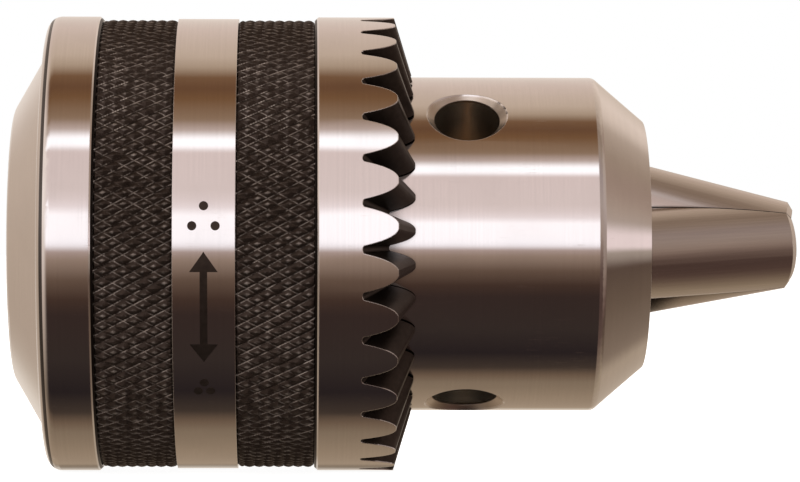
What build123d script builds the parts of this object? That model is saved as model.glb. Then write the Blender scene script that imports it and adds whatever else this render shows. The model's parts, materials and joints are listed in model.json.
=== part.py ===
"""Keyed three-jaw drill chuck, 1 to 18 mm, with a short-taper socket.

Frame: millimetres. X is the chuck axis, with the jaws towards +X. The origin is the centre of the
rear face. An azimuth is measured about +X, from +Y towards +Z. The jaws are modelled closed.
"""

from math import atan, ceil, cos, floor, pi, radians, sin, tan
import os

from build123d import *

# Taper socket and through bores of the body
socket_mouth_radius = 8.89
socket_taper = 1 / 20.02
socket_depth = 34.0
drift_hole_radius = 3.0
shank_bore_radius = 9.4
shank_bore_start = 40.0

# Body, rear to front
rear_face_radius = 16.8
rear_corner_radius = 2.5
rear_cone_angle = 60.0
flange_radius = 25.85
flange_end = 29.0
spigot_radius = 22.0
spigot_end = 30.6
neck_radius = 14.8
nose_start = 46.3
nose_radius = 21.0
nose_cone_start = 72.4
nose_corner_radius = 1.2
nose_face_radius = 15.6
body_length = 78.7

# Key holes, about midway between the jaws
key_hole_count = 3
first_key_hole_azimuth = 10.8
key_hole_x = 56.15
key_hole_radius = 4.0
key_hole_floor_radius = 11.5
key_hole_countersink = 1.0

# Jaws and their bores
jaw_count = 3
first_jaw_azimuth = 75.0
jaw_angle = 15.0
jaw_cross_x = 95.3
jaw_radius = 5.7
jaw_clearance = 0.05
jaw_front = 1.4
jaw_rear = -55.9
jaw_bore_end = -91.0
jaw_edge_chamfer = 0.8
jaw_ridge_radius = 0.5
jaw_wedge_offset = 0.05
crown_start = -18.7
crown_height = 2.8
crown_radius = 15.5

# Conical thread between the jaws and the nut, measured along a jaw
thread_pitch = 2.5
ridge_height = 1.0
ridge_base_width = 1.15
ridge_crest_width = 0.55
ridge_root_overlap = 0.3
groove_depth = 1.15
groove_mouth_width = 1.45
groove_floor_width = 0.85
groove_ring_radius = 18.0

# Split nut
nut_start = 33.2
nut_radius = 25.0
nut_shoulder_x = 43.5
nut_end = 46.1
ridge_end = 45.0
nut_boss_radius = 21.0
nut_bore_clearance = 0.15
nut_split_gap = 0.1

# Thrust bearing behind the nut
race_inner_radius = 22.05
race_outer_radius = 25.6
ball_count = 45
ball_radius = 1.5
ball_ring_radius = 23.9
ball_ring_x = 31.9
ball_groove_radius = 1.55

# Sleeve, rear to front
sleeve_start = 4.25
sleeve_radius = 28.5
sleeve_rim_radius = 1.7
rear_knurl_start = 11.1
middle_band_start = 20.5
middle_band_radius = 28.25
front_knurl_start = 28.0
gear_band_start = 37.5
knurl_seat_radius = 27.55
band_chamfer = 0.45
sleeve_bore_radius = 26.0
sleeve_bore_end = 33.5
sleeve_front_bore_radius = 21.25

# Bevel teeth on the front of the sleeve. Their cones meet on the axis of the key.
tooth_count = 32
first_gap_azimuth = 1.4
tooth_root_x = 43.1
tooth_tip_x = 47.4
# One flank of a gap on the rim: x, and half the width of the gap there
gap_corner = (43.3, 0.46)
gap_flank_pull = (44.9, 0.85)
gap_crown_pull = (47.3, 1.45)
gap_tip = (47.42, 2.7)

# How far a cutting shape runs past the surface that it cuts
cut_overrun = 2.0

# Worked out from the dimensions above
jaw_slope = tan(radians(jaw_angle))
flange_start = (flange_radius - rear_face_radius) / tan(radians(rear_cone_angle))
socket_floor_radius = socket_mouth_radius - socket_depth * socket_taper / 2
axial_pitch = thread_pitch * cos(radians(jaw_angle))
thread_lead = atan(axial_pitch / (2 * pi * groove_ring_radius))
helix_start = nut_start - axial_pitch
helix_azimuth = 90.0
jaw_azimuths = [first_jaw_azimuth + 360 / jaw_count * k for k in range(jaw_count)]
key_hole_azimuths = [first_key_hole_azimuth + 360 / key_hole_count * k for k in range(key_hole_count)]


def radial(azimuth):
    """Return the unit vector that points away from the chuck axis at an azimuth."""
    return Vector(0, cos(radians(azimuth)), sin(radians(azimuth)))


def ring_outline(points):
    """Return a closed outline of (x, radius) points, ready to revolve about the chuck axis."""
    with BuildSketch(Plane.XY) as outline:
        with BuildLine():
            Polyline(*points, close=True)
        make_face()
    return outline.sketch


def nut_bore(x):
    """Return the radius of the nut's conical bore at x, just clear of the relieved jaw crowns."""
    crown = crown_height / cos(radians(jaw_angle))
    return (jaw_cross_x - x) * jaw_slope + crown + nut_bore_clearance


def tooth_cone(x_at_rim, radius):
    """Return the x at which a tooth cone that meets the key's axis has a radius."""
    return key_hole_x - (key_hole_x - x_at_rim) * radius / sleeve_radius


def jaw_forward(azimuth):
    """Return the unit vector along a jaw, towards the point where the jaws meet."""
    angle = radians(jaw_angle)
    return Vector(cos(angle), 0, 0) - radial(azimuth) * sin(angle)


def jaw_outward(azimuth):
    """Return the unit vector square to a jaw, away from the chuck axis."""
    angle = radians(jaw_angle)
    return Vector(sin(angle), 0, 0) + radial(azimuth) * cos(angle)


def jaw_section(azimuth, distance):
    """Return the plane square to a jaw. Its local x points outward, and its z forward."""
    forward = jaw_forward(azimuth)
    origin = Vector(jaw_cross_x, 0, 0) + forward * distance
    return Plane(origin=origin, x_dir=jaw_outward(azimuth), z_dir=forward)


def jaw_side(azimuth, distance):
    """Return the plane through a jaw and the chuck axis. Its local x is forward, its y outward."""
    forward = jaw_forward(azimuth)
    outward = jaw_outward(azimuth)
    origin = Vector(jaw_cross_x, 0, 0) + forward * distance
    return Plane(origin=origin, x_dir=forward, z_dir=forward.cross(outward))


def gap_outline(radius):
    """Return the outline of one tooth gap on a plane at a radius, in x and along the rim."""
    scale = radius / sleeve_radius
    plane = Plane(origin=(key_hole_x, radius, 0), x_dir=(1, 0, 0), z_dir=(0, 1, 0))
    root = (tooth_root_x, 0)
    front = (gap_tip[0] + cut_overrun, gap_tip[1])
    outline_points = (root, gap_corner, gap_flank_pull, gap_crown_pull, gap_tip, front)
    upper = [((x - key_hole_x) * scale, y * scale) for x, y in outline_points]
    lower = [(x, -y) for x, y in upper]
    with BuildSketch(plane) as outline:
        with BuildLine():
            ThreePointArc(lower[1], upper[0], upper[1])
            Bezier(*upper[1:5])
            Polyline(upper[4], upper[5], lower[5], lower[4])
            Bezier(*reversed(lower[1:5]))
        make_face()
    return outline.sketch


def groove_ring(azimuth, distance):
    """Return one thread groove of a jaw as a ring about the lead-tilted chuck direction."""
    side = jaw_side(azimuth, distance)
    tangent = side.z_dir
    floor_y = crown_height - groove_depth
    top_y = jaw_radius + cut_overrun
    mouth_half = groove_mouth_width / 2
    flank_slope = (groove_mouth_width - groove_floor_width) / 2 / groove_depth
    top_half = mouth_half + flank_slope * (top_y - crown_height)
    centre = side.from_local_coords((0, crown_height)) - radial(azimuth) * groove_ring_radius
    ring_axis = Axis(centre, Vector(cos(thread_lead), 0, 0) + tangent * sin(thread_lead))
    with BuildPart() as ring:
        with BuildSketch(side):
            with BuildLine():
                Polyline(
                    (-groove_floor_width / 2, floor_y),
                    (groove_floor_width / 2, floor_y),
                    (top_half, top_y),
                    (-top_half, top_y),
                    close=True,
                )
            make_face()
        revolve(axis=ring_axis)
    return ring.part


def thread_x(azimuth):
    """Return an x at which the nut's ridge passes an azimuth."""
    return helix_start + axial_pitch * (azimuth - helix_azimuth) / 360


def groove_distances(azimuth):
    """Return where the thread grooves of a jaw lie along it."""
    crown_x = jaw_cross_x + crown_height * sin(radians(jaw_angle))
    first = (thread_x(azimuth) - crown_x) / cos(radians(jaw_angle))
    low = ceil((jaw_rear - groove_mouth_width - first) / thread_pitch)
    high = floor((crown_start - groove_mouth_width / 2 - first) / thread_pitch)
    return [first + thread_pitch * k for k in range(low, high + 1)]


# Body: one piece from the taper socket to the nose
with BuildPart() as chuck_body:
    revolve(
        ring_outline(
            [
                (0, socket_mouth_radius),
                (0, rear_face_radius),
                (flange_start, flange_radius),
                (flange_end, flange_radius),
                (flange_end, spigot_radius),
                (spigot_end, spigot_radius),
                (spigot_end, neck_radius),
                (nose_start, neck_radius),
                (nose_start, nose_radius),
                (nose_cone_start, nose_radius),
                (body_length, nose_face_radius),
                (body_length, shank_bore_radius),
                (shank_bore_start, shank_bore_radius),
                (shank_bore_start, drift_hole_radius),
                (socket_depth, drift_hole_radius),
                (socket_depth, socket_floor_radius),
            ]
        ),
        axis=Axis.X,
    )
    circles = chuck_body.edges().filter_by(GeomType.CIRCLE)
    rear_corner = circles.group_by(Axis.X)[0].sort_by(SortBy.RADIUS)[-1]
    nose_corner = circles.sort_by(lambda edge: abs(edge.center().X - nose_cone_start))[0]
    fillet(rear_corner, rear_corner_radius)
    fillet(nose_corner, nose_corner_radius)
    for jaw_azimuth in jaw_azimuths:
        with BuildSketch(jaw_section(jaw_azimuth, jaw_front)):
            Circle(jaw_radius + jaw_clearance)
        extrude(amount=jaw_bore_end - jaw_front, mode=Mode.SUBTRACT)
    for hole_azimuth in key_hole_azimuths:
        outward = radial(hole_azimuth)
        hole_mouth = Vector(key_hole_x, 0, 0) + outward * nose_radius
        with Locations(Plane(origin=hole_mouth, x_dir=(1, 0, 0), z_dir=outward)):
            CounterSinkHole(
                radius=key_hole_radius,
                counter_sink_radius=key_hole_radius + key_hole_countersink,
                depth=nose_radius - key_hole_floor_radius,
                counter_sink_angle=90,
            )
chuck_body.part.label = "chuck_body"

# Sleeve: turned outside, with two sunk seats for the knurl and the crown of bevel teeth
sleeve_outline = ring_outline(
    [
        (sleeve_start, sleeve_bore_radius),
        (sleeve_start, sleeve_radius),
        (rear_knurl_start - band_chamfer, sleeve_radius),
        (rear_knurl_start, sleeve_radius - band_chamfer),
        (rear_knurl_start, knurl_seat_radius),
        (middle_band_start, knurl_seat_radius),
        (middle_band_start, middle_band_radius),
        (front_knurl_start, middle_band_radius),
        (front_knurl_start, knurl_seat_radius),
        (gear_band_start, knurl_seat_radius),
        (gear_band_start, sleeve_radius - band_chamfer),
        (gear_band_start + band_chamfer, sleeve_radius),
        (tooth_tip_x, sleeve_radius),
        (tooth_cone(tooth_tip_x, sleeve_front_bore_radius), sleeve_front_bore_radius),
        (nut_shoulder_x, sleeve_front_bore_radius),
        (nut_shoulder_x, nut_radius),
        (sleeve_bore_end, nut_radius),
        (sleeve_bore_end, sleeve_bore_radius),
    ]
)
with BuildPart() as tooth_gap:
    inner_outline = gap_outline(sleeve_front_bore_radius - cut_overrun)
    outer_outline = gap_outline(sleeve_radius + cut_overrun)
    loft([inner_outline, outer_outline], ruled=True)

with BuildPart() as sleeve:
    revolve(sleeve_outline, axis=Axis.X)
    rear_rim = sleeve.edges().filter_by(GeomType.CIRCLE).group_by(Axis.X)[0].sort_by(SortBy.RADIUS)[-1]
    fillet(rear_rim, sleeve_rim_radius)
    for tooth in range(tooth_count):
        gap_turn = first_gap_azimuth + 360 / tooth_count * tooth
        add(tooth_gap.part, rotation=(gap_turn, 0, 0), mode=Mode.SUBTRACT)
sleeve.part.label = "sleeve"

# Split nut: a conical thread that drives the three jaws
with BuildPart() as thread_ridge:
    ridge_path = Helix(
        pitch=thread_pitch,
        height=ridge_end + axial_pitch - helix_start,
        radius=nut_bore(helix_start),
        center=(helix_start, 0, 0),
        direction=(1, 0, 0),
        cone_angle=-jaw_angle,
        mode=Mode.PRIVATE,
    )
    ridge_section = Plane(
        origin=ridge_path @ 0,
        x_dir=jaw_forward(helix_azimuth),
        z_dir=jaw_side(helix_azimuth, 0).z_dir,
    )
    with BuildSketch(ridge_section):
        with BuildLine():
            Polyline(
                (-ridge_base_width / 2, ridge_root_overlap),
                (-ridge_base_width / 2, 0),
                (-ridge_crest_width / 2, -ridge_height),
                (ridge_crest_width / 2, -ridge_height),
                (ridge_base_width / 2, 0),
                (ridge_base_width / 2, ridge_root_overlap),
                close=True,
            )
        make_face()
    sweep(path=ridge_path, normal=(1, 0, 0))
    # The ridge stops short of the front face, where the open jaws have no grooves left
    with BuildSketch(Plane.YZ.offset(nut_start)):
        Circle(nut_radius)
    extrude(amount=ridge_end - nut_start, mode=Mode.INTERSECT)

with BuildPart() as nut:
    revolve(
        ring_outline(
            [
                (nut_start, nut_bore(nut_start)),
                (nut_start, nut_radius),
                (nut_shoulder_x, nut_radius),
                (nut_shoulder_x, nut_boss_radius),
                (nut_end, nut_boss_radius),
                (nut_end, nut_bore(nut_end)),
            ]
        ),
        axis=Axis.X,
    )
    add(thread_ridge.part)
    with Locations(Plane.YZ.offset(ball_ring_x)):
        Torus(ball_ring_radius, ball_groove_radius, mode=Mode.SUBTRACT)

nut_halves = {}
for half_name, side_sign in (("nut_half_a", 1), ("nut_half_b", -1)):
    with BuildPart() as nut_half:
        add(nut.part)
        with BuildSketch(Plane.XZ.offset(-side_sign * nut_split_gap / 2)):
            with Locations((nut_start + (nut_end - nut_start) / 2, 0)):
                Rectangle(2 * (nut_end - nut_start), 2 * (nut_radius + cut_overrun))
        extrude(amount=-side_sign * (nut_radius + cut_overrun), mode=Mode.INTERSECT)
    nut_half.part.label = half_name
    nut_halves[half_name] = nut_half.part

# Thrust race and its ring of balls
with BuildPart() as thrust_race:
    revolve(
        ring_outline(
            [
                (flange_end, race_inner_radius),
                (flange_end, race_outer_radius),
                (spigot_end, race_outer_radius),
                (spigot_end, race_inner_radius),
            ]
        ),
        axis=Axis.X,
    )
    with Locations(Plane.YZ.offset(ball_ring_x)):
        Torus(ball_ring_radius, ball_groove_radius, mode=Mode.SUBTRACT)
thrust_race.part.label = "thrust_race"

with BuildPart() as bearing_balls:
    with Locations(Plane.YZ.offset(ball_ring_x)):
        with PolarLocations(ball_ring_radius, ball_count):
            Sphere(ball_radius)
bearing_balls.part.label = "bearing_balls"


def make_jaw(azimuth):
    """Return one jaw, closed: a round rod with a gripping wedge in front and a thread behind."""
    outward = radial(azimuth)
    wedge_slope = tan(radians(180 / jaw_count))
    wedge_depth = 2 * neck_radius + jaw_radius
    with BuildPart() as jaw:
        with BuildSketch(jaw_section(azimuth, jaw_front)):
            Circle(jaw_radius)
        extrude(amount=jaw_rear - jaw_front)
        chamfer(jaw.edges(), jaw_edge_chamfer)
        # The crown of the threaded part is relieved to pass inside the nut
        with BuildSketch(jaw_section(azimuth, crown_start)):
            with Locations((crown_height / 2 + jaw_radius, 0)):
                Rectangle(2 * jaw_radius, 2 * (jaw_radius + cut_overrun))
            with Locations((crown_height - crown_radius, 0)):
                Circle(crown_radius, mode=Mode.SUBTRACT)
        extrude(amount=jaw_rear - crown_start - cut_overrun, mode=Mode.SUBTRACT)
        # The gripping faces meet their neighbours at 120 degrees, with a narrow flat ridge
        with BuildSketch(Plane(origin=(0, 0, 0), x_dir=outward, z_dir=(1, 0, 0))):
            with BuildLine():
                Polyline(
                    (jaw_ridge_radius, (jaw_ridge_radius - jaw_wedge_offset) * wedge_slope),
                    (wedge_depth, (wedge_depth - jaw_wedge_offset) * wedge_slope),
                    (wedge_depth, -(wedge_depth - jaw_wedge_offset) * wedge_slope),
                    (jaw_ridge_radius, -(jaw_ridge_radius - jaw_wedge_offset) * wedge_slope),
                    close=True,
                )
            make_face()
        extrude(amount=jaw_cross_x + jaw_radius, mode=Mode.INTERSECT)
        for distance in groove_distances(azimuth):
            add(groove_ring(azimuth, distance), mode=Mode.SUBTRACT)
    return jaw.part


jaws = {}
for number, jaw_azimuth in enumerate(jaw_azimuths, start=1):
    jaw_name = f"jaw_{number}"
    jaws[jaw_name] = make_jaw(jaw_azimuth)
    jaws[jaw_name].label = jaw_name

os.makedirs("parts", exist_ok=True)
export_step(chuck_body.part, "parts/chuck_body.step")
export_step(sleeve.part, "parts/sleeve.step")
export_step(thrust_race.part, "parts/thrust_race.step")
export_step(bearing_balls.part, "parts/bearing_balls.step")
for name, piece in {**nut_halves, **jaws}.items():
    export_step(piece, f"parts/{name}.step")
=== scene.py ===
"""Looks of the keyed drill chuck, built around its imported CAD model. Lengths are in metres."""

import json
import math

import bpy
import numpy as np
from mathutils import Matrix, Vector


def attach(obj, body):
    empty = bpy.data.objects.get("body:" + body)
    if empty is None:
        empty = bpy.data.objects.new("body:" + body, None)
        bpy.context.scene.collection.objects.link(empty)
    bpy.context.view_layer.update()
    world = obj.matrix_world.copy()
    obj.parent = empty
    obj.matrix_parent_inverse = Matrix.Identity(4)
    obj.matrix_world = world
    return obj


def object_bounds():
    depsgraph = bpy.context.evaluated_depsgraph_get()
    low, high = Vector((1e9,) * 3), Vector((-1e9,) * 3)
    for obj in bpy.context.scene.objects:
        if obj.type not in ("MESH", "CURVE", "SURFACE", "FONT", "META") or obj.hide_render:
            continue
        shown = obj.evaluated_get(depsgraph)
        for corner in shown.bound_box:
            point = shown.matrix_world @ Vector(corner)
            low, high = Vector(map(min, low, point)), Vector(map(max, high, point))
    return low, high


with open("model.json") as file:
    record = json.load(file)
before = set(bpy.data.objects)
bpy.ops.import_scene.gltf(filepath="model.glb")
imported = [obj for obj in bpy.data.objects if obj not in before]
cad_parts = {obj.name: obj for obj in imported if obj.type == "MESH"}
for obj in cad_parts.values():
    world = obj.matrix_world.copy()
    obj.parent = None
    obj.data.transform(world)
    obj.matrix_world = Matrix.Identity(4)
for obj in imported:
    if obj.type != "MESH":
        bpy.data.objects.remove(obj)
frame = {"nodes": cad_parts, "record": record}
cad_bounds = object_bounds()

MM = 0.001

# Sleeve, as the CAD part has it. A pair of lengths is a range along the chuck, from its rear face.
SLEEVE_RADIUS = 28.5 * MM
SLEEVE_BORE_RADIUS = 26.0 * MM
MIDDLE_BAND_RADIUS = 28.25 * MM
KNURL_SEAT_RADIUS = 27.55 * MM
REAR_KNURL = (11.1 * MM, 20.5 * MM)
MIDDLE_BAND = (20.5 * MM, 28.0 * MM)
FRONT_KNURL = (28.0 * MM, 37.5 * MM)
TEETH_START = 43.0 * MM

# Body, as the CAD part has it
NOSE_RADIUS = 21.0 * MM
BODY_LENGTH = 78.7 * MM
KEY_HOLE_X = 56.15 * MM
KEY_HOLE_FLOOR_RADIUS = 11.5 * MM
COUNTERSINK_DEPTH = 1.0 * MM
SOCKET_END = 34.0 * MM
SOCKET_MOUTH_RADIUS = 8.89 * MM

# Diamond knurl
KNURL_STARTS = 130
KNURL_LENGTH = 2.45 * MM
KNURL_STEPS = 8
KNURL_CREST_RADIUS = 28.10 * MM
KNURL_VALLEY_RADIUS = 27.72 * MM
KNURL_INNER_RADIUS = 27.50 * MM
KNURL_END_GAP = 0.03 * MM
KNURL_END_CHAMFER = 0.30 * MM
KNURL_FLAT = 1.14
KNURL_SECOND_DEPTH = 0.65

# Etched turning mark on the middle band: an arrow to each side, and dots for closed and open jaws.
# Its centre is in degrees around the chuck.
MARK_HEIGHT = 0.012 * MM
MARK_DEPTH = 0.05 * MM
MARK_CENTRE = 196.0
MARK_BAR_LENGTH = 9.0 * MM
MARK_BAR_WIDTH = 0.9 * MM
MARK_HEAD_LENGTH = 2.4 * MM
MARK_HEAD_WIDTH = 3.4 * MM
MARK_DOT_RADIUS = 0.55 * MM
MARK_DOT_PLACE = 10.8 * MM
MARK_DOTS_CLOSED = 0.85 * MM
MARK_DOTS_OPEN = 1.6 * MM
MARK_STEPS = 12

# Camera, lamps and floor. A lamp has its name, its place and its power in watts.
CAMERA_PLACE = Vector((35.7 * MM, -470 * MM, 0.0))
CAMERA_TARGET = Vector((48.3 * MM, 0.0, 0.37 * MM))
CAMERA_LENS = 167.7
CAMERA_ROLL = math.radians(0.10)
CAMERA_REACH = 50.0
LAMPS = (("key_light", (0.25, -0.45, 0.75), 9.0), ("fill_light", (-0.35, 0.55, 0.60), 5.0))
LAMP_SIZE = 0.6
LAMP_TARGET = Vector((45 * MM, 0.0, 0.0))
FLOOR_HALF = 8.0
FLOOR_TONES = ((0.50, 0.50, 0.50), (0.54, 0.54, 0.54))
FLOOR_GLOW = 0.95

# Light seen in the steel: degrees around the chuck, up from the front, and linear colour. It is set for
# the main view and isn't a real studio. Square to the chuck there are sharp strips; towards the nose and the
# rear they are softer. The glint is a patch that gives the nose cone its one highlight.
SIDE_LIGHT = (
    (-180, (0.85, 0.76, 0.68)),
    (-166, (0.80, 0.70, 0.60)),
    (-156, (0.42, 0.32, 0.23)),
    (-131, (0.35, 0.26, 0.18)),
    (-110, (0.26, 0.19, 0.13)),
    (-102, (0.18, 0.12, 0.080)),
    (-94, (0.060, 0.042, 0.032)),
    (-80, (0.024, 0.017, 0.017)),
    (-60, (0.040, 0.028, 0.024)),
    (-36, (0.042, 0.026, 0.022)),
    (-28, (0.065, 0.037, 0.027)),
    (-18, (0.15, 0.095, 0.068)),
    (-8, (0.35, 0.25, 0.195)),
    (-4, (0.49, 0.37, 0.33)),
    (-1, (1.15, 1.08, 1.12)),
    (2, (1.30, 1.24, 1.28)),
    (14, (1.35, 1.27, 1.30)),
    (18, (1.02, 0.89, 0.89)),
    (22, (0.90, 0.76, 0.74)),
    (27, (0.83, 0.69, 0.66)),
    (47, (0.82, 0.67, 0.64)),
    (50, (1.40, 1.35, 1.38)),
    (54, (1.40, 1.35, 1.38)),
    (58.5, (0.62, 0.49, 0.44)),
    (65, (0.31, 0.20, 0.13)),
    (78, (0.20, 0.10, 0.046)),
    (85, (0.16, 0.077, 0.039)),
    (93, (0.21, 0.11, 0.057)),
    (101, (0.49, 0.365, 0.265)),
    (110, (0.63, 0.49, 0.385)),
    (140, (0.74, 0.59, 0.51)),
    (180, (0.85, 0.76, 0.68)),
)
SLANT_LIGHT = (
    (-180, (0.55, 0.45, 0.36)),
    (-145, (0.46, 0.36, 0.27)),
    (-122, (0.40, 0.31, 0.22)),
    (-97, (0.25, 0.18, 0.13)),
    (-72, (0.12, 0.074, 0.060)),
    (-45, (0.085, 0.050, 0.042)),
    (-20, (0.12, 0.074, 0.060)),
    (-5, (0.26, 0.18, 0.15)),
    (9, (0.42, 0.32, 0.27)),
    (30, (0.46, 0.37, 0.33)),
    (51, (0.40, 0.32, 0.30)),
    (72, (0.37, 0.28, 0.22)),
    (86, (0.31, 0.225, 0.17)),
    (96, (0.42, 0.32, 0.25)),
    (108, (0.58, 0.46, 0.37)),
    (130, (0.72, 0.58, 0.48)),
    (150, (0.85, 0.70, 0.60)),
    (180, (0.55, 0.45, 0.36)),
)
NOSE_LIGHT = (
    (-180, (0.60, 0.50, 0.42)),
    (-155, (0.48, 0.38, 0.30)),
    (-140, (0.32, 0.24, 0.18)),
    (-127, (0.24, 0.175, 0.13)),
    (-104, (0.16, 0.11, 0.078)),
    (-75, (0.10, 0.064, 0.048)),
    (-58, (0.16, 0.10, 0.080)),
    (-30, (0.28, 0.20, 0.16)),
    (0, (0.40, 0.31, 0.27)),
    (40, (0.52, 0.42, 0.38)),
    (76, (0.50, 0.40, 0.34)),
    (86, (0.47, 0.36, 0.29)),
    (95, (0.41, 0.30, 0.24)),
    (104, (0.38, 0.27, 0.215)),
    (117, (0.39, 0.29, 0.22)),
    (130, (0.50, 0.39, 0.31)),
    (145, (0.74, 0.60, 0.51)),
    (180, (0.60, 0.50, 0.42)),
)
NOSE_GLINT = (0.97, 0.80, 0.78)
REAR_LIGHT = (
    (-180, (0.56, 0.44, 0.35)),
    (-90, (0.32, 0.245, 0.18)),
    (-30, (0.60, 0.48, 0.41)),
    (30, (1.10, 0.97, 0.90)),
    (90, (0.84, 0.69, 0.60)),
    (180, (0.56, 0.44, 0.35)),
)
END_LIGHT = (0.46, 0.38, 0.32)

# Where one light fades into the next, by x of the direction, which is 1 straight out from the nose.
# The glint's top and bottom are limits of the direction's z.
SLANT_FADE = (0.11, 0.24)
NOSE_FADE = (0.58, 0.72)
REAR_FADE = (-0.30, -0.75)
END_FADE = (0.985, 1.0)
GLINT_FADE = (0.965, 0.985)
GLINT_TOP = (0.17, 0.05)
GLINT_BOTTOM = (-0.062, -0.012)

# Colours of the finishes
STEEL = (0.80, 0.78, 0.77)
JAW_STEEL = (0.62, 0.57, 0.53)
HOLE_STEEL = (0.60, 0.48, 0.35)
BORE_STEEL = (0.42, 0.36, 0.31)
DULL_STEEL = (0.58, 0.50, 0.41)
# Steel showing where the knurl crests wear, and the colour of the highlights painted along the groove roots
WEAR_AND_GLINT_STEEL = (0.44, 0.39, 0.35)
BEARING_STEEL = ((0.70, 0.70, 0.71), (0.80, 0.80, 0.80))
OXIDE = ((0.020, 0.014, 0.011), (0.054, 0.039, 0.031))
# Near-black oxide, for painted shade
SHADED_OXIDE = (0.009, 0.0065, 0.005)

# Grain of the finishes: cells per metre, and depths of the relief
STAIN_GRAIN = 90.0
TURNING_GRAIN = 2600.0
BROKEN_GRAIN = 5200.0
SCRATCH_PATCH_GRAIN = 220.0
WEAR_GRAIN = 900.0
BORE_GRAIN = 700.0
OXIDE_GRAIN = 1400.0
OXIDE_PATCH_GRAIN = 160.0
HAZE_GRAIN = 500.0
JAW_GRAIN = (90.0, 4200.0, 4200.0)
FLOOR_GRAIN = 3.0
TURNING_DEPTH = 0.5e-6
GRINDING_DEPTH = 0.6e-6
OXIDE_DEPTH = 4.0e-6

# Roughness: the least of turned steel, and that of the smooth and the rough patches of the others
TURNED_ROUGHNESS = 0.065
BORE_ROUGHNESS = (0.12, 0.22)
OXIDE_ROUGHNESS = (0.30, 0.46)
JAW_ROUGHNESS = (0.18, 0.25)
BEARING_ROUGHNESS = (0.05, 0.14)

# Brushing and scratches. A family of scratches has its lean from the chuck axis in degrees, an offset
# that keeps it apart from the others, and its share of the surface.
BRUSH_TURN = 0.25
BRUSH_ON_TURNED = 0.8
BRUSH_ON_JAWS = 0.5
SCRATCH_LENGTH = 2.2 * MM
SCRATCH_WIDTH = 0.10 * MM
SCRATCHES = ((24.0, 3.0, 0.27), (-52.0, 7.0, 0.25))

# Edges and crevices: how round an edge looks, and how far the painted shade in crevices reaches. The jaws are
# alike, but each has its own reach, set for the main view.
EDGE_SOFTNESS = 0.12 * MM
BODY_PAINTED_SHADE_REACH = 1.4 * MM
JAW_PAINTED_SHADE_REACH = {"jaw_1": 0.4 * MM, "jaw_2": 0.8 * MM, "jaw_3": 6.0 * MM}

# Limits between finishes, and how sharp or ragged they are
MASK_BLUR = 0.01 * MM
TOOTH_WEAR = 0.2 * MM
OXIDE_ON_CHAMFER = 0.27 * MM
# A strip on the rounded rear rim, where shade is painted near black
REAR_EDGE_SHADE_STRIP = (4.75 * MM, 5.15 * MM)
KEY_HOLE_REACH = 6.15 * MM
# Painted shade on a key hole's flanks, rising between these distances from its centre
KEY_HOLE_SHADE = (0.6 * MM, 2.4 * MM)
THROAT_LIMIT = (12.4 * MM, 12.2 * MM)
SOCKET_DULLNESS = 0.75

# Lighter places on the knurl: wear on the crests, and highlights painted in lines that follow the roots of
# both families of grooves, which lean to opposite sides; each family has its weight. A line's soft edge is in
# shares of a groove's pitch.
CREST_WEAR_DEPTH = 0.13 * MM
CREST_WEAR = 0.6
GLINT_LINE_WEIGHTS = ((1, 0.85), (-1, 0.45))
GLINT_LINE_WIDTH = (0.09, 0.03)


class Shader:
    """A node tree with short calls that add nodes and link them."""

    def __init__(self, tree):
        self.tree = tree
        tree.nodes.clear()

    def node(self, kind, inputs=None, **settings):
        """Add a node, apply its settings, and link or fill its inputs."""
        new = self.tree.nodes.new(kind)
        for key, value in settings.items():
            setattr(new, key, value)
        for key, value in (inputs or {}).items():
            self.feed(new.inputs[key], value)
        return new

    def feed(self, socket, value):
        """Link a socket to another node's socket, or give it a plain value."""
        if isinstance(value, bpy.types.NodeSocket):
            self.tree.links.new(value, socket)
        else:
            socket.default_value = value

    def math(self, operation, a, b=0.0):
        """Return the result of one math node."""
        return self.node("ShaderNodeMath", {0: a, 1: b}, operation=operation).outputs[0]

    def all_of(self, first, *others):
        """Return where all the masks hold: their product."""
        for other in others:
            first = self.math("MULTIPLY", first, other)
        return first

    def any_of(self, first, *others):
        """Return where any of the masks holds: their maximum."""
        for other in others:
            first = self.math("MAXIMUM", first, other)
        return first

    def step(self, value, low, high):
        """Return a smooth rise from 0 at low to 1 at high."""
        inputs = {"Value": value, "From Min": low, "From Max": high}
        new = self.node("ShaderNodeMapRange", inputs, interpolation_type="SMOOTHSTEP")
        return new.outputs["Result"]

    def spread(self, value, limits):
        """Return a value from 0 to 1 spread evenly between two limits."""
        inputs = {"Value": value, "To Min": limits[0], "To Max": limits[1]}
        return self.node("ShaderNodeMapRange", inputs).outputs["Result"]

    def mix_colour(self, factor, a, b):
        """Return colour a mixed towards colour b. Both are plain colours or sockets."""
        new = self.node("ShaderNodeMix", data_type="RGBA")
        self.feed(new.inputs["Factor"], factor)
        for place, colour in ((6, a), (7, b)):
            self.feed(new.inputs[place], rgba(colour) if isinstance(colour, tuple) else colour)
        return new.outputs[2]

    def noise(self, place, scale, detail):
        """Return the grey value of a noise texture in space."""
        inputs = {"Vector": place, "Scale": scale, "Detail": detail}
        return self.node("ShaderNodeTexNoise", inputs).outputs[0]

    def noise_along(self, length, scale, detail):
        """Return the grey value of a noise texture along one length."""
        new = self.node("ShaderNodeTexNoise", {"Scale": scale, "Detail": detail}, noise_dimensions="1D")
        self.feed(new.inputs["W"], length)
        return new.outputs[0]

    def output(self, surface):
        """Make a surface node's first output the result of the tree."""
        self.node("ShaderNodeOutputMaterial", {"Surface": surface.outputs[0]})


def rgba(colour):
    """Return a colour with full alpha."""
    return (*colour, 1.0)


def darker(colour, share):
    """Return a colour darkened to a share of itself."""
    return tuple(channel * share for channel in colour)


def new_material(name):
    """Return an empty node material and its Shader."""
    material = bpy.data.materials.new(name)
    material.use_nodes = True
    return material, Shader(material.node_tree)


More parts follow.
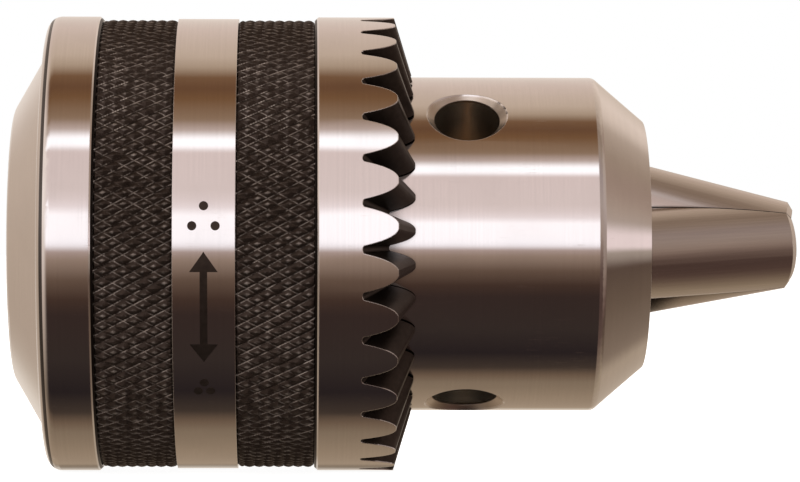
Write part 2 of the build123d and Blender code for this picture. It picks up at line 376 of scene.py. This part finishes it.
def chuck_coordinates(shader):
    """Return position, length along the chuck, radius and angle around it, for a shader."""
    place = shader.node("ShaderNodeTexCoord").outputs["Object"]
    split = shader.node("ShaderNodeSeparateXYZ", {0: place})
    x, y, z = split.outputs
    square = shader.math("ADD", shader.math("MULTIPLY", y, y), shader.math("MULTIPLY", z, z))
    radius = shader.math("SQRT", square)
    angle = shader.math("ARCTAN2", z, y)
    return place, x, radius, angle


def around_axis(shader):
    """Return the direction around the chuck axis, for brushed highlights."""
    place = shader.node("ShaderNodeTexCoord").outputs["Object"]
    turn = shader.node("ShaderNodeVectorMath", {0: (1.0, 0.0, 0.0), 1: place}, operation="CROSS_PRODUCT")
    world = shader.node("ShaderNodeVectorTransform", {0: turn.outputs[0]}, vector_type="VECTOR")
    world.convert_from = "OBJECT"
    world.convert_to = "WORLD"
    return world.outputs[0]


def crevice_shade_factor(shader, distance, dark, light):
    """Return 1 on an open surface, falling to 0 where other surfaces crowd it, to paint shade into crevices.
    """
    nearby = shader.node("ShaderNodeAmbientOcclusion", {"Distance": distance}, samples=8)
    return shader.step(nearby.outputs["AO"], dark, light)


def scratches(shader, x, radius, angle, lean, offset, share):
    """Return a mask of short straight scratches that lean by an angle from the chuck axis."""
    around = shader.math("MULTIPLY", angle, SLEEVE_RADIUS)
    surface = shader.node("ShaderNodeCombineXYZ", {0: x, 1: around, 2: radius})
    turned = shader.node(
        "ShaderNodeMapping",
        {
            "Vector": surface.outputs[0],
            "Location": (offset, 0.0, 0.0),
            "Rotation": (0.0, 0.0, math.radians(lean)),
            "Scale": (1 / SCRATCH_LENGTH, 1 / SCRATCH_WIDTH, 1 / SCRATCH_LENGTH),
        },
    )
    grain = shader.noise(turned.outputs[0], 1.0, 0.0)
    patch = shader.noise(surface.outputs[0], SCRATCH_PATCH_GRAIN, 1.0)
    line = shader.step(grain, 1.0 - share, 1.05 - share)
    return shader.math("MULTIPLY", line, shader.step(patch, 0.50, 0.62))


def relief(shader, height, depth):
    """Return the normal of a fine relief on a surface with softened edges."""
    edge = shader.node("ShaderNodeBevel", {"Radius": EDGE_SOFTNESS}, samples=4)
    inputs = {"Strength": 1.0, "Distance": depth, "Height": height, "Normal": edge.outputs[0]}
    return shader.node("ShaderNodeBump", inputs).outputs[0]


def turning_lines(shader, x, radius, angle):
    """Return the height of fine rings around the axis, on the flat faces too, partly broken up."""
    along = shader.math("ADD", x, shader.math("MULTIPLY", radius, 0.73))
    streak = shader.noise_along(along, TURNING_GRAIN, 4.0)
    place = shader.node(
        "ShaderNodeCombineXYZ", {0: along, 1: shader.math("MULTIPLY", angle, 0.0012), 2: 0.0}
    )
    broken = shader.noise(place.outputs[0], BROKEN_GRAIN, 2.0)
    return shader.math("ADD", shader.math("MULTIPLY", streak, 0.6), shader.math("MULTIPLY", broken, 0.4))


def turned_steel(shader, coordinates, dull=0.0):
    """Add bright lathe-turned steel: fine rings around the axis, brushed highlights, light wear, and painted
    shade in crevices.
    """
    place, x, radius, angle = coordinates
    lines = turning_lines(shader, x, radius, angle)
    stain = shader.noise(place, STAIN_GRAIN, 5.0)
    marks = shader.any_of(*(scratches(shader, x, radius, angle, *family) for family in SCRATCHES))
    tone = shader.mix_colour(shader.step(stain, 0.45, 0.75), STEEL, darker(STEEL, 0.90))
    tone = shader.mix_colour(shader.step(lines, 0.3, 0.7), tone, darker(STEEL, 0.96))
    tone = shader.mix_colour(shader.math("MULTIPLY", dull, 0.8), tone, DULL_STEEL)
    # Painted shade: the steel turns dark where other surfaces crowd it.
    tone = shader.mix_colour(crevice_shade_factor(shader, BODY_PAINTED_SHADE_REACH, 0.25, 0.85), darker(STEEL, 0.25), tone)
    rough = shader.math("ADD", shader.math("MULTIPLY", stain, 0.04), TURNED_ROUGHNESS)
    rough = shader.math("ADD", rough, shader.math("MULTIPLY", marks, 0.10))
    rough = shader.math("ADD", rough, shader.math("MULTIPLY", dull, 0.20))
    return shader.node(
        "ShaderNodeBsdfPrincipled",
        {
            "Base Color": tone,
            "Metallic": 1.0,
            "Roughness": rough,
            "Anisotropic": BRUSH_ON_TURNED,
            "Anisotropic Rotation": BRUSH_TURN,
            "Normal": relief(shader, lines, TURNING_DEPTH),
            "Tangent": around_axis(shader),
        },
    )


def mixed_material(name, finish):
    """Return a material that mixes finish's dark surface over its bright one, by its mask."""
    material, shader = new_material(name)
    share, bright, dark = finish(shader)
    shader.output(shader.node("ShaderNodeMixShader", {0: share, 1: bright.outputs[0], 2: dark.outputs[0]}))
    return material


def between(shader, value, low, high):
    """Return 1 where a length lies between two limits."""
    above = shader.step(value, low - MASK_BLUR, low + MASK_BLUR)
    below = shader.step(value, high + MASK_BLUR, high - MASK_BLUR)
    return shader.all_of(above, below)


def sleeve_finish(shader):
    """Turned steel on the ground bands, black oxide in the tooth gaps, the seats, the bore, the chamfers and a
    rear rim strip, with shade painted near black on the chamfers and the strip.
    """
    coordinates = chuck_coordinates(shader)
    place, x, radius = coordinates[:3]
    bright = turned_steel(shader, coordinates)
    grain = shader.noise(place, WEAR_GRAIN, 3.0)
    wear = shader.math("MULTIPLY", shader.math("SUBTRACT", grain, 0.5), TOOTH_WEAR)
    ragged = shader.math("ADD", radius, wear)
    on_teeth = shader.step(x, TEETH_START - 0.4 * MM, TEETH_START - 0.1 * MM)
    below_rim = shader.step(ragged, SLEEVE_RADIUS - 0.04 * MM, SLEEVE_RADIUS - 0.16 * MM)
    teeth = shader.all_of(on_teeth, below_rim)
    in_seats = shader.any_of(between(shader, x, *REAR_KNURL), between(shader, x, *FRONT_KNURL))
    seat_floor = shader.step(radius, KNURL_SEAT_RADIUS + 0.3 * MM, KNURL_SEAT_RADIUS)
    seats = shader.all_of(in_seats, seat_floor)
    rear_edge = between(shader, x, REAR_KNURL[0] - OXIDE_ON_CHAMFER, REAR_KNURL[0])
    front_edge = between(shader, x, FRONT_KNURL[1], FRONT_KNURL[1] + OXIDE_ON_CHAMFER)
    # A strip of painted shade on the rounded rear rim
    strip_end = shader.step(x, REAR_EDGE_SHADE_STRIP[1] + 0.02 * MM, REAR_EDGE_SHADE_STRIP[1] - 0.02 * MM)
    strip_fade = shader.step(x, REAR_EDGE_SHADE_STRIP[0] - 0.1 * MM, REAR_EDGE_SHADE_STRIP[0] + 0.05 * MM)
    rear_shade_strip = shader.all_of(strip_end, strip_fade, 0.9)
    # On the chamfers beside the knurls and on the rear strip: oxide, with shade painted near black
    shaded_oxide_edges = shader.any_of(rear_edge, front_edge, rear_shade_strip)
    bore = shader.step(radius, SLEEVE_BORE_RADIUS + 0.15 * MM, SLEEVE_BORE_RADIUS + 0.05 * MM)
    dark = shader.any_of(teeth, seats, bore, shaded_oxide_edges)
    return dark, bright, black_oxide_surface(shader, place, shade=shaded_oxide_edges)


def body_finish(shader):
    """Turned steel outside, and duller, darker steel in the socket, the key holes and the jaw bores, with
    painted shade on the key holes' flanks.
    """
    coordinates = chuck_coordinates(shader)
    place, x, radius = coordinates[:3]
    around_hole = between(shader, x, KEY_HOLE_X - KEY_HOLE_REACH, KEY_HOLE_X + KEY_HOLE_REACH)
    sunk = shader.step(radius, NOSE_RADIUS - 0.02 * MM, NOSE_RADIUS - 0.30 * MM)
    bright = turned_steel(shader, coordinates, dull=shader.all_of(around_hole, sunk))
    sink_floor = NOSE_RADIUS - COUNTERSINK_DEPTH
    holes = shader.all_of(around_hole, shader.step(radius, sink_floor + 0.12 * MM, sink_floor - 0.02 * MM))
    # Painted shade, darker towards the flanks of each key hole
    off_centre = shader.math("ABSOLUTE", shader.math("SUBTRACT", x, KEY_HOLE_X))
    hole_flank_shade = shader.all_of(around_hole, shader.step(off_centre, *KEY_HOLE_SHADE))
    past_socket = shader.step(x, SOCKET_END + 1.0 * MM, SOCKET_END + 1.5 * MM)
    behind_face = shader.step(x, BODY_LENGTH - 0.04 * MM, BODY_LENGTH - 0.2 * MM)
    throat = shader.all_of(past_socket, shader.step(radius, *THROAT_LIMIT), behind_face)
    in_socket = shader.step(x, SOCKET_END + 1.0 * MM, SOCKET_END)
    below_mouth = shader.step(radius, SOCKET_MOUTH_RADIUS + 0.07 * MM, SOCKET_MOUTH_RADIUS - 0.03 * MM)
    socket = shader.all_of(in_socket, below_mouth)
    below_key_holes = shader.step(
        radius, KEY_HOLE_FLOOR_RADIUS - 0.1 * MM, KEY_HOLE_FLOOR_RADIUS - 0.3 * MM
    )
    deep = shader.any_of(shader.all_of(throat, below_key_holes), socket)
    dark = shader.any_of(holes, throat, shader.math("MULTIPLY", socket, SOCKET_DULLNESS))
    return dark, bright, bored_surface(shader, place, hole_flank_shade, deep)


def bored_surface(shader, place, hole_flank_shade, deep):
    """Add the oily bored steel: painted shade on the flanks of a key hole, greyer and duller in the deep
    bores.
    """
    grain = shader.noise(place, BORE_GRAIN, 3.0)
    tone = shader.mix_colour(grain, darker(HOLE_STEEL, 0.7), HOLE_STEEL)
    tone = shader.mix_colour(hole_flank_shade, tone, darker(HOLE_STEEL, 0.42))
    tone = shader.mix_colour(deep, tone, BORE_STEEL)
    duller = shader.math("MULTIPLY", deep, 0.25)
    rough = shader.math("ADD", shader.spread(grain, BORE_ROUGHNESS), duller)
    metal = shader.math("SUBTRACT", 0.9, duller)
    return shader.node(
        "ShaderNodeBsdfPrincipled", {"Base Color": tone, "Metallic": metal, "Roughness": rough}
    )


def black_oxide_surface(shader, place, wear_and_glint=0.0, shade=0.0):
    """Add a blackened-steel surface: brown-black, half dull, lighter where it wears and where highlights are
    painted, near black where shade is painted.
    """
    grain = shader.noise(place, OXIDE_GRAIN, 4.0)
    patch = shader.noise(place, OXIDE_PATCH_GRAIN, 3.0)
    tone = shader.mix_colour(grain, *OXIDE)
    tone = shader.mix_colour(wear_and_glint, tone, WEAR_AND_GLINT_STEEL)
    tone = shader.mix_colour(shade, tone, SHADED_OXIDE)
    bump = shader.node("ShaderNodeBump", {"Strength": 1.0, "Distance": OXIDE_DEPTH, "Height": grain})
    return shader.node(
        "ShaderNodeBsdfPrincipled",
        {
            "Base Color": tone,
            "Metallic": 0.85,
            "Roughness": shader.spread(patch, OXIDE_ROUGHNESS),
            "Normal": bump.outputs[0],
        },
    )


def black_oxide(name):
    """Return blackened steel for hidden working pieces and etched marks."""
    material, shader = new_material(name)
    shader.output(black_oxide_surface(shader, shader.node("ShaderNodeTexCoord").outputs["Object"]))
    return material


def knurl_oxide(name):
    """Return blackened steel that is lighter where the crests wear, with highlights painted along lines at the
    groove roots.
    """
    material, shader = new_material(name)
    place, x, radius, angle = chuck_coordinates(shader)
    crest = shader.step(radius, KNURL_CREST_RADIUS - CREST_WEAR_DEPTH, KNURL_CREST_RADIUS)
    wear_and_glint = shader.math("MULTIPLY", crest, CREST_WEAR)
    around = shader.math("MULTIPLY", angle, KNURL_STARTS / (2 * math.pi))
    along = shader.math("DIVIDE", x, KNURL_LENGTH)
    # Highlights painted in lines along the groove roots of each family
    for lean, weight in GLINT_LINE_WEIGHTS:
        turns = shader.math("ADD", around, shader.math("MULTIPLY", along, lean))
        from_root = shader.math("PINGPONG", turns, 0.5)
        line = shader.math("MULTIPLY", shader.step(from_root, *GLINT_LINE_WIDTH), weight)
        wear_and_glint = shader.any_of(wear_and_glint, line)
    patch = shader.step(shader.noise(place, WEAR_GRAIN, 4.0), 0.38, 0.68)
    shader.output(black_oxide_surface(shader, place, shader.all_of(wear_and_glint, patch)))
    return material


def ground_jaw_steel(jaw, axis):
    """Return hardened jaw steel, ground along the jaw's own axis, a little duller than the body, with painted
    shade where other surfaces crowd it.
    """
    material, shader = new_material(f"{jaw}_steel_ground")
    azimuth = math.atan2(axis[2], axis[1])
    slope = math.atan2(math.hypot(axis[1], axis[2]), abs(axis[0]))
    place = shader.node("ShaderNodeTexCoord").outputs["Object"]
    level = shader.node("ShaderNodeMapping", {"Vector": place, "Rotation": (-azimuth, 0.0, slope)})
    stretch = shader.node("ShaderNodeVectorMath", {0: level.outputs[0], 1: JAW_GRAIN}, operation="MULTIPLY")
    grain = shader.noise(stretch.outputs[0], 1.0, 4.0)
    tone = shader.mix_colour(shader.step(grain, 0.3, 0.7), darker(JAW_STEEL, 0.93), JAW_STEEL)
    # Painted shade near the other jaws and the nose, as far as this jaw's reach
    clear_of_painted_shade = crevice_shade_factor(shader, JAW_PAINTED_SHADE_REACH[jaw], 0.78, 0.96)
    tone = shader.mix_colour(clear_of_painted_shade, darker(JAW_STEEL, 0.12), tone)
    surface = shader.node(
        "ShaderNodeBsdfPrincipled",
        {
            "Base Color": tone,
            "Metallic": 1.0,
            "Roughness": shader.spread(grain, JAW_ROUGHNESS),
            "Anisotropic": BRUSH_ON_JAWS,
            "Normal": relief(shader, grain, GRINDING_DEPTH),
            "Tangent": around_axis(shader),
        },
    )
    shader.output(surface)
    return material


def polished_bearing_steel(name):
    """Return polished hardened steel with a light haze for the balls and their race."""
    material, shader = new_material(name)
    place = shader.node("ShaderNodeTexCoord").outputs["Object"]
    haze = shader.noise(place, HAZE_GRAIN, 3.0)
    tone = shader.mix_colour(haze, *BEARING_STEEL)
    rough = shader.spread(haze, BEARING_ROUGHNESS)
    shader.output(
        shader.node("ShaderNodeBsdfPrincipled", {"Base Color": tone, "Metallic": 1.0, "Roughness": rough})
    )
    return material


def add_mesh(name, vertices, faces, material):
    """Link a new mesh object with one material."""
    mesh = bpy.data.meshes.new(name)
    mesh.from_pydata(vertices, [], faces)
    mesh.validate()
    mesh.update()
    mesh.materials.append(material)
    piece = bpy.data.objects.new(name, mesh)
    bpy.context.scene.collection.objects.link(piece)
    return piece


def groove_profile(turns):
    """Return the height of one family of knurl grooves: 0 in a groove, 1 on its flat crest."""
    wave = np.abs(turns - np.round(turns)) * 2
    return np.minimum(wave * KNURL_FLAT, 1.0)


def knurl_band(name, x_start, x_end, material):
    """Build one diamond-knurled ring whose grid follows the two families of grooves."""
    step = KNURL_LENGTH / KNURL_STEPS
    low, high = x_start + KNURL_END_GAP, x_end - KNURL_END_GAP
    rows = np.concatenate(([low], np.arange(math.ceil(low / step) * step, high, step), [high]))
    columns = KNURL_STARTS * KNURL_STEPS
    turn = np.arange(columns) / KNURL_STEPS
    around = turn[None, :]
    along = (rows / KNURL_LENGTH)[:, None]
    first = groove_profile(around + along)
    second = 1 - KNURL_SECOND_DEPTH * (1 - groove_profile(around - along))
    to_end = np.minimum(rows - low, high - rows)[:, None] / KNURL_END_CHAMFER
    height = np.minimum(np.minimum(first, second), to_end)
    radius = KNURL_VALLEY_RADIUS + (KNURL_CREST_RADIUS - KNURL_VALLEY_RADIUS) * np.clip(height, 0, 1)
    inner = np.full((1, columns), KNURL_INNER_RADIUS)
    radius = np.vstack((inner, radius, inner))
    x = np.concatenate(([low], rows, [high]))
    beta = 2 * np.pi * turn / KNURL_STARTS
    grid = np.stack(
        (np.broadcast_to(x[:, None], radius.shape), radius * np.cos(beta), radius * np.sin(beta)), axis=-1
    )
    count = len(x)
    faces = []
    for i in range(count):
        j = (i + 1) % count
        for k in range(columns):
            m = (k + 1) % columns
            a, b, c, d = i * columns + k, i * columns + m, j * columns + m, j * columns + k
            if abs(radius[i, k] - radius[j, m]) <= abs(radius[i, m] - radius[j, k]):
                faces += [(a, b, c), (a, c, d)]
            else:
                faces += [(a, b, d), (b, c, d)]
    piece = add_mesh(name, grid.reshape(-1, 3).tolist(), faces, material)
    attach(piece, "sleeve")


def curved_strip(places, half_widths, x_centre, bottom, top):
    """Return the points and faces of a thin closed strip that lies around the chuck.

    places are lengths along the rim from the mark's centre, and half_widths its half width at each.
    """
    points = []
    for place, half in zip(places, half_widths):
        beta = math.radians(MARK_CENTRE) - place / MIDDLE_BAND_RADIUS
        for x, radius in ((-half, bottom), (half, bottom), (half, top), (-half, top)):
            points.append((x_centre + x, radius * math.cos(beta), radius * math.sin(beta)))
    last = 4 * (len(places) - 1)
    faces = [(0, 1, 2, 3), (last + 3, last + 2, last + 1, last)]
    for start in range(0, last, 4):
        for side in range(4):
            a, b = start + side, start + (side + 1) % 4
            faces.append((a, a + 4, b + 4, b))
    return points, faces


def turning_mark(name, material):
    """Build the generic etched mark: a double arrow between closed and open groups of dots."""
    x_centre = sum(MIDDLE_BAND) / 2
    bottom = MIDDLE_BAND_RADIUS - MARK_DEPTH
    top = MIDDLE_BAND_RADIUS + MARK_HEIGHT
    bar_half = MARK_BAR_LENGTH / 2
    share = np.linspace(0.0, 1.0, MARK_STEPS + 1)
    strips = [(bar_half * (2 * share - 1), np.full(len(share), MARK_BAR_WIDTH / 2), 0.0)]
    for way in (-1, 1):
        head = way * (bar_half + MARK_HEAD_LENGTH * share)
        taper = MARK_HEAD_WIDTH / 2 * np.maximum(1 - share, 0.02)
        strips.append((head[::way], taper[::way], 0.0))
    round_half = MARK_DOT_RADIUS * np.sin(np.pi * np.clip(share, 0.02, 0.98))
    round_place = -MARK_DOT_RADIUS * np.cos(np.pi * share)
    for way, spread in ((-1, MARK_DOTS_CLOSED), (1, MARK_DOTS_OPEN)):
        for corner in range(3):
            turn = 2 * math.pi * corner / 3
            place = way * MARK_DOT_PLACE + spread * math.cos(turn)
            strips.append((place + round_place, round_half, spread * math.sin(turn)))
    points, faces = [], []
    for places, half_widths, x_shift in strips:
        new_points, new_faces = curved_strip(places, half_widths, x_centre + x_shift, bottom, top)
        faces += [[len(points) + corner for corner in face] for face in new_faces]
        points += new_points
    piece = add_mesh(name, points, faces, material)
    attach(piece, "sleeve")


def aim(thing, place, target, roll=0.0):
    """Put a camera or light at a place and point it at a target."""
    direction = target - place
    thing.location = place
    turn = direction.to_track_quat("-Z", "Y").to_matrix().to_4x4()
    thing.rotation_euler = (turn @ Matrix.Rotation(roll, 4, "Z")).to_euler()


def light_strips(shader, turn, stops):
    """Return the colour of strips of light that lie along the chuck, by the turn around it."""
    ramp = shader.node("ShaderNodeValToRGB", {0: turn})
    elements = ramp.color_ramp.elements
    for index, (degrees, colour) in enumerate(stops):
        position = degrees / 360 + 0.5
        element = elements[index] if index < 2 else elements.new(position)
        element.position = position
        element.color = rgba(colour)
    return ramp.outputs[0]


def build_world():
    """White to the camera; to the steel, soft strips of light and shade that run along the chuck."""
    world = bpy.data.worlds.new("studio")
    bpy.context.scene.world = world
    world.use_nodes = True
    shader = Shader(world.node_tree)
    direction = shader.node("ShaderNodeTexCoord").outputs["Generated"]
    x, y, z = shader.node("ShaderNodeSeparateXYZ", {0: direction}).outputs
    front = shader.math("MULTIPLY", y, -1.0)
    turn = shader.math("ADD", shader.math("MULTIPLY", shader.math("ARCTAN2", z, front), 0.5 / math.pi), 0.5)
    light = light_strips(shader, turn, SIDE_LIGHT)
    for fade, stops in ((SLANT_FADE, SLANT_LIGHT), (NOSE_FADE, NOSE_LIGHT), (REAR_FADE, REAR_LIGHT)):
        light = shader.mix_colour(shader.step(x, *fade), light, light_strips(shader, turn, stops))
    end = shader.step(shader.math("ABSOLUTE", x), *END_FADE)
    light = shader.mix_colour(end, light, END_LIGHT)
    below_top = shader.step(z, *GLINT_TOP)
    above_bottom = shader.step(z, *GLINT_BOTTOM)
    glint = shader.all_of(below_top, above_bottom, shader.step(x, *GLINT_FADE))
    light = shader.mix_colour(glint, light, NOSE_GLINT)
    is_camera = shader.node("ShaderNodeLightPath").outputs["Is Camera Ray"]
    seen = shader.mix_colour(is_camera, light, (1.0, 1.0, 1.0))
    background = shader.node("ShaderNodeBackground", {"Color": seen, "Strength": 1.0})
    shader.node("ShaderNodeOutputWorld", {"Surface": background.outputs[0]})


def build_floor(height):
    """A plain pale floor. The steel reflects the studio light instead of it."""
    material, shader = new_material("pale_floor")
    place = shader.node("ShaderNodeTexCoord").outputs["Object"]
    mottle = shader.noise(place, FLOOR_GRAIN, 3.0)
    surface = shader.node(
        "ShaderNodeBsdfPrincipled",
        {
            "Base Color": shader.mix_colour(mottle, *FLOOR_TONES),
            "Roughness": 0.9,
            "Emission Color": (1.0, 1.0, 1.0, 1.0),
            "Emission Strength": FLOOR_GLOW,
        },
    )
    shader.output(surface)
    signs = ((-1, -1), (1, -1), (1, 1), (-1, 1))
    corners = [(FLOOR_HALF * x_sign, FLOOR_HALF * y_sign, height) for x_sign, y_sign in signs]
    floor = add_mesh("floor", corners, [(0, 1, 2, 3)], material)
    floor.visible_glossy = False


def build_lights():
    """Two large soft lights that light the floor and the dark parts."""
    for name, place, power in LAMPS:
        light = bpy.data.lights.new(name, "AREA")
        light.size = LAMP_SIZE
        light.energy = power
        lamp = bpy.data.objects.new(name, light)
        bpy.context.scene.collection.objects.link(lamp)
        aim(lamp, Vector(place), LAMP_TARGET)
        lamp.visible_glossy = False


def build_camera():
    """A long lens level with the chuck axis, square to it."""
    camera = bpy.data.cameras.new("camera")
    camera.lens = CAMERA_LENS
    camera.clip_end = CAMERA_REACH
    holder = bpy.data.objects.new("camera", camera)
    bpy.context.scene.collection.objects.link(holder)
    aim(holder, CAMERA_PLACE, CAMERA_TARGET, CAMERA_ROLL)
    bpy.context.scene.camera = holder


def finish_cad_nodes(oxide):
    """Give every CAD node its procedural finish."""
    bearing = polished_bearing_steel("bearing_polished")
    finishes = {
        "chuck_body": mixed_material("body_steel_turned", body_finish),
        "sleeve": mixed_material("sleeve_steel_turned", sleeve_finish),
        "nut_half_a": oxide,
        "nut_half_b": oxide,
        "thrust_race": bearing,
        "bearing_balls": bearing,
    }
    for joint in frame["record"]["behaviour"]["joints"]:
        if joint["name"].startswith("jaw"):
            jaw = joint["child"]
            finishes[jaw] = ground_jaw_steel(jaw, joint["axis"])
    for node, material in finishes.items():
        for slot in frame["nodes"][node].material_slots:
            slot.material = material


plain_oxide = black_oxide("plain_oxide")
wear_and_glint_oxide = knurl_oxide("knurl_oxide")
finish_cad_nodes(plain_oxide)
knurl_band("knurl_rear", *REAR_KNURL, wear_and_glint_oxide)
knurl_band("knurl_front", *FRONT_KNURL, wear_and_glint_oxide)
turning_mark("turning_mark", plain_oxide)
build_world()
build_floor(cad_bounds[0][2])
build_lights()
build_camera()
bpy.context.scene.view_settings.view_transform = "Standard"
